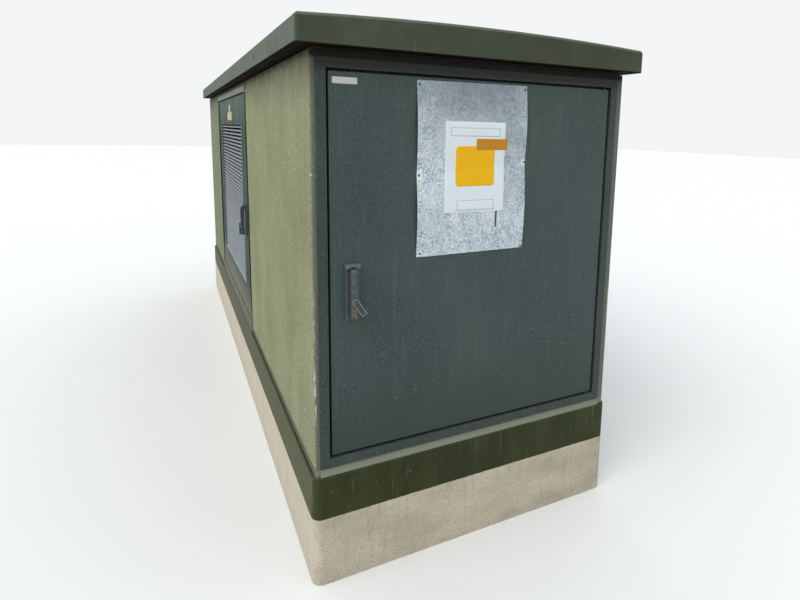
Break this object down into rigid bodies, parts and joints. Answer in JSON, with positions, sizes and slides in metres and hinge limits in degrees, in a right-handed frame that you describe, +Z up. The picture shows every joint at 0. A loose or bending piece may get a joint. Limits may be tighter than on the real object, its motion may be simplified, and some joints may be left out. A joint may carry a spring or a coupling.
{
  "type": "compact transformer substation",
  "caption": "Low precast concrete kiosk with an arched roof slab, steel doors and a louvre, which holds a distribution transformer, its switchgear and a low-voltage board.",
  "frame": {"origin": "middle of the underside of the base", "axes": "+Z up, +Y from the front door to the rear door along the longest side, the louvred door faces -X"},
  "size_m": [1.354, 4.138, 1.9018],
  "materials": {
    "concrete": "bare cast concrete with a dark green painted band",
    "render": "rough olive render",
    "roof_paint": "olive painted concrete",
    "seal_rubber": "black",
    "door_paint": "dark grey-green satin paint",
    "frame_paint": "dark grey-green satin paint",
    "galvanised": "zinc coated",
    "handle_black": "dark satin powder coat",
    "lever_grey": "dark satin powder coat",
    "lock_brass": "satin",
    "rod_steel": "zinc plated",
    "tank_paint": "grey paint",
    "core_steel": "laminated sheet",
    "copper": "enamelled copper",
    "insulator": "brown glaze",
    "cable_sheath": "dark red",
    "bare_copper": "bare",
    "cabinet_paint": "light grey powder coat",
    "moulded_grey": "moulded",
    "moulded_dark": "moulded",
    "knob_red": "moulded"
  },
  "bodies": {
    "root": {"base_casting": "concrete", "wall_casting": "render", "roof_slab": "roof_paint", "roof_seal": "seal_rubber", "switchgear_partition": "galvanised", "lv_partition": "galvanised", "transformer_rails": "galvanised", "transformer_tank": "tank_paint", "transformer_cover": "tank_paint", "transformer_core": "core_steel", "transformer_windings": "copper", "hv_bushings": "insulator", "lv_bushings": "insulator", "mv_cables": "cable_sheath", "lv_link_bars": "bare_copper", "switchgear_housing": "cabinet_paint", "switchgear_cable_cover": "cabinet_paint", "lv_board": "galvanised", "lv_busbars": "bare_copper", "lv_main_switch": "moulded_grey", "lv_fuse_switches": "moulded_grey", "front_door_frame": "frame_paint", "side_door_frame": "frame_paint", "rear_door_frame": "frame_paint", "front_door_seal": "seal_rubber", "rear_door_seal": "seal_rubber"},
    "tap_changer_knob": {"tap_changer_knob": "moulded_dark"},
    "main_switch_lever": {"lv_main_switch_lever": "knob_red"},
    "front_door": {"front_door_leaf": "door_paint", "front_handle_plate": "handle_black", "front_galvanised_plate": "galvanised"},
    "front_spindle": {"front_handle_spindle": "handle_black"},
    "front_lever": {"front_handle_lever": "lever_grey", "front_lock_cylinder": "lock_brass"},
    "front_lock_cover": {"front_lock_cover": "handle_black"},
    "front_upper_rod": {"front_upper_rod": "rod_steel"},
    "front_lower_rod": {"front_lower_rod": "rod_steel"},
    "side_door": {"side_door_leaf": "door_paint", "side_handle_plate": "handle_black", "side_louvre": "galvanised"},
    "side_spindle": {"side_handle_spindle": "handle_black"},
    "side_lever": {"side_handle_lever": "lever_grey", "side_lock_cylinder": "lock_brass"},
    "side_lock_cover": {"side_lock_cover": "handle_black"},
    "side_upper_rod": {"side_upper_rod": "rod_steel"},
    "side_lower_rod": {"side_lower_rod": "rod_steel"},
    "rear_door": {"rear_door_leaf": "door_paint", "rear_handle_plate": "handle_black"},
    "rear_spindle": {"rear_handle_spindle": "handle_black"},
    "rear_lever": {"rear_handle_lever": "lever_grey", "rear_lock_cylinder": "lock_brass"},
    "rear_lock_cover": {"rear_lock_cover": "handle_black"},
    "rear_upper_rod": {"rear_upper_rod": "rod_steel"},
    "rear_lower_rod": {"rear_lower_rod": "rod_steel"},
    "switch_shaft_left": {"switch_shaft_left": "rod_steel"},
    "switch_shaft_middle": {"switch_shaft_middle": "rod_steel"},
    "switch_shaft_right": {"switch_shaft_right": "rod_steel"},
    "fuse_handle_left": {"fuse_handle_left": "moulded_dark"},
    "fuse_handle_middle": {"fuse_handle_middle": "moulded_dark"},
    "fuse_handle_right": {"fuse_handle_right": "moulded_dark"}
  },
  "joints": [
    {"name": "front_door_hinge", "type": "hinge", "parent": "root", "child": "front_door", "pos_m": [0.54, -2.005, 0.467], "axis": [0, 0, 1], "range_deg": [0, 100]},
    {"name": "front_spindle_turn", "type": "hinge", "parent": "front_door", "child": "front_spindle", "pos_m": [-0.497, -2.0416, 1.099], "axis": [0, -1, 0], "range_deg": [0, 90]},
    {"name": "front_lever_lift", "type": "hinge", "parent": "front_spindle", "child": "front_lever", "pos_m": [-0.497, -2.0416, 1.099], "axis": [-1, 0, 0], "range_deg": [0, 30]},
    {"name": "front_lock_cover_swing", "type": "hinge", "parent": "front_lever", "child": "front_lock_cover", "pos_m": [-0.497, -2.0526, 1.006], "axis": [0, -1, 0], "range_deg": [-33, 57]},
    {"name": "front_upper_rod_slide", "type": "slide", "parent": "front_door", "child": "front_upper_rod", "axis": [0, 0, 1], "range_m": [0, 0.014]},
    {"name": "front_lower_rod_slide", "type": "slide", "parent": "front_door", "child": "front_lower_rod", "axis": [0, 0, -1], "range_m": [0, 0.014]},
    {"name": "side_door_hinge", "type": "hinge", "parent": "root", "child": "side_door", "pos_m": [-0.613, 1.021, 0.467], "axis": [0, 0, -1], "range_deg": [0, 100]},
    {"name": "side_spindle_turn", "type": "hinge", "parent": "side_door", "child": "side_spindle", "pos_m": [-0.6496, -0.431, 1.099], "axis": [1, 0, 0], "range_deg": [0, 90]},
    {"name": "side_lever_lift", "type": "hinge", "parent": "side_spindle", "child": "side_lever", "pos_m": [-0.6496, -0.431, 1.099], "axis": [0, 1, 0], "range_deg": [0, 30]},
    {"name": "side_lock_cover_swing", "type": "hinge", "parent": "side_lever", "child": "side_lock_cover", "pos_m": [-0.6606, -0.431, 1.006], "axis": [1, 0, 0], "range_deg": [0, 90]},
    {"name": "side_upper_rod_slide", "type": "slide", "parent": "side_door", "child": "side_upper_rod", "axis": [0, 0, 1], "range_m": [0, 0.014]},
    {"name": "side_lower_rod_slide", "type": "slide", "parent": "side_door", "child": "side_lower_rod", "axis": [0, 0, -1], "range_m": [0, 0.014]},
    {"name": "rear_door_hinge", "type": "hinge", "parent": "root", "child": "rear_door", "pos_m": [-0.54, 2.005, 0.467], "axis": [0, 0, 1], "range_deg": [0, 100]},
    {"name": "rear_spindle_turn", "type": "hinge", "parent": "rear_door", "child": "rear_spindle", "pos_m": [0.497, 2.0416, 1.099], "axis": [0, 1, 0], "range_deg": [0, 90]},
    {"name": "rear_lever_lift", "type": "hinge", "parent": "rear_spindle", "child": "rear_lever", "pos_m": [0.497, 2.0416, 1.099], "axis": [1, 0, 0], "range_deg": [0, 30]},
    {"name": "rear_lock_cover_swing", "type": "hinge", "parent": "rear_lever", "child": "rear_lock_cover", "pos_m": [0.497, 2.0526, 1.006], "axis": [0, 1, 0], "range_deg": [0, 90]},
    {"name": "rear_upper_rod_slide", "type": "slide", "parent": "rear_door", "child": "rear_upper_rod", "axis": [0, 0, 1], "range_m": [0, 0.014]},
    {"name": "rear_lower_rod_slide", "type": "slide", "parent": "rear_door", "child": "rear_lower_rod", "axis": [0, 0, -1], "range_m": [0, 0.014]},
    {"name": "tap_changer_turn", "type": "hinge", "parent": "root", "child": "tap_changer_knob", "pos_m": [0.11, 0.2655, 1.29], "axis": [0, 0, 1], "range_deg": [-60, 60]},
    {"name": "switch_shaft_left_turn", "type": "hinge", "parent": "root", "child": "switch_shaft_left", "pos_m": [-0.29, -1.667, 1.35], "axis": [0, -1, 0], "range_deg": [0, 90]},
    {"name": "switch_shaft_middle_turn", "type": "hinge", "parent": "root", "child": "switch_shaft_middle", "pos_m": [0, -1.667, 1.35], "axis": [0, -1, 0], "range_deg": [0, 90]},
    {"name": "switch_shaft_right_turn", "type": "hinge", "parent": "root", "child": "switch_shaft_right", "pos_m": [0.29, -1.667, 1.35], "axis": [0, -1, 0], "range_deg": [0, 90]},
    {"name": "main_switch_lever_tilt", "type": "hinge", "parent": "root", "child": "main_switch_lever", "pos_m": [0, 1.297, 1.19], "axis": [1, 0, 0], "range_deg": [0, 90]},
    {"name": "fuse_handle_left_tilt", "type": "hinge", "parent": "root", "child": "fuse_handle_left", "pos_m": [-0.24, 1.277, 0.64], "axis": [-1, 0, 0], "range_deg": [0, 60]},
    {"name": "fuse_handle_middle_tilt", "type": "hinge", "parent": "root", "child": "fuse_handle_middle", "pos_m": [0, 1.277, 0.64], "axis": [-1, 0, 0], "range_deg": [0, 60]},
    {"name": "fuse_handle_right_tilt", "type": "hinge", "parent": "root", "child": "fuse_handle_right", "pos_m": [0.24, 1.277, 0.64], "axis": [-1, 0, 0], "range_deg": [0, 60]}
  ],
  "couplings": [
    {"joint": "front_upper_rod_slide", "follows": "front_spindle_turn", "m_per_rad": 0.0089127},
    {"joint": "front_lower_rod_slide", "follows": "front_spindle_turn", "m_per_rad": 0.0089127},
    {"joint": "side_upper_rod_slide", "follows": "side_spindle_turn", "m_per_rad": 0.0089127},
    {"joint": "side_lower_rod_slide", "follows": "side_spindle_turn", "m_per_rad": 0.0089127},
    {"joint": "rear_upper_rod_slide", "follows": "rear_spindle_turn", "m_per_rad": 0.0089127},
    {"joint": "rear_lower_rod_slide", "follows": "rear_spindle_turn", "m_per_rad": 0.0089127}
  ]
}
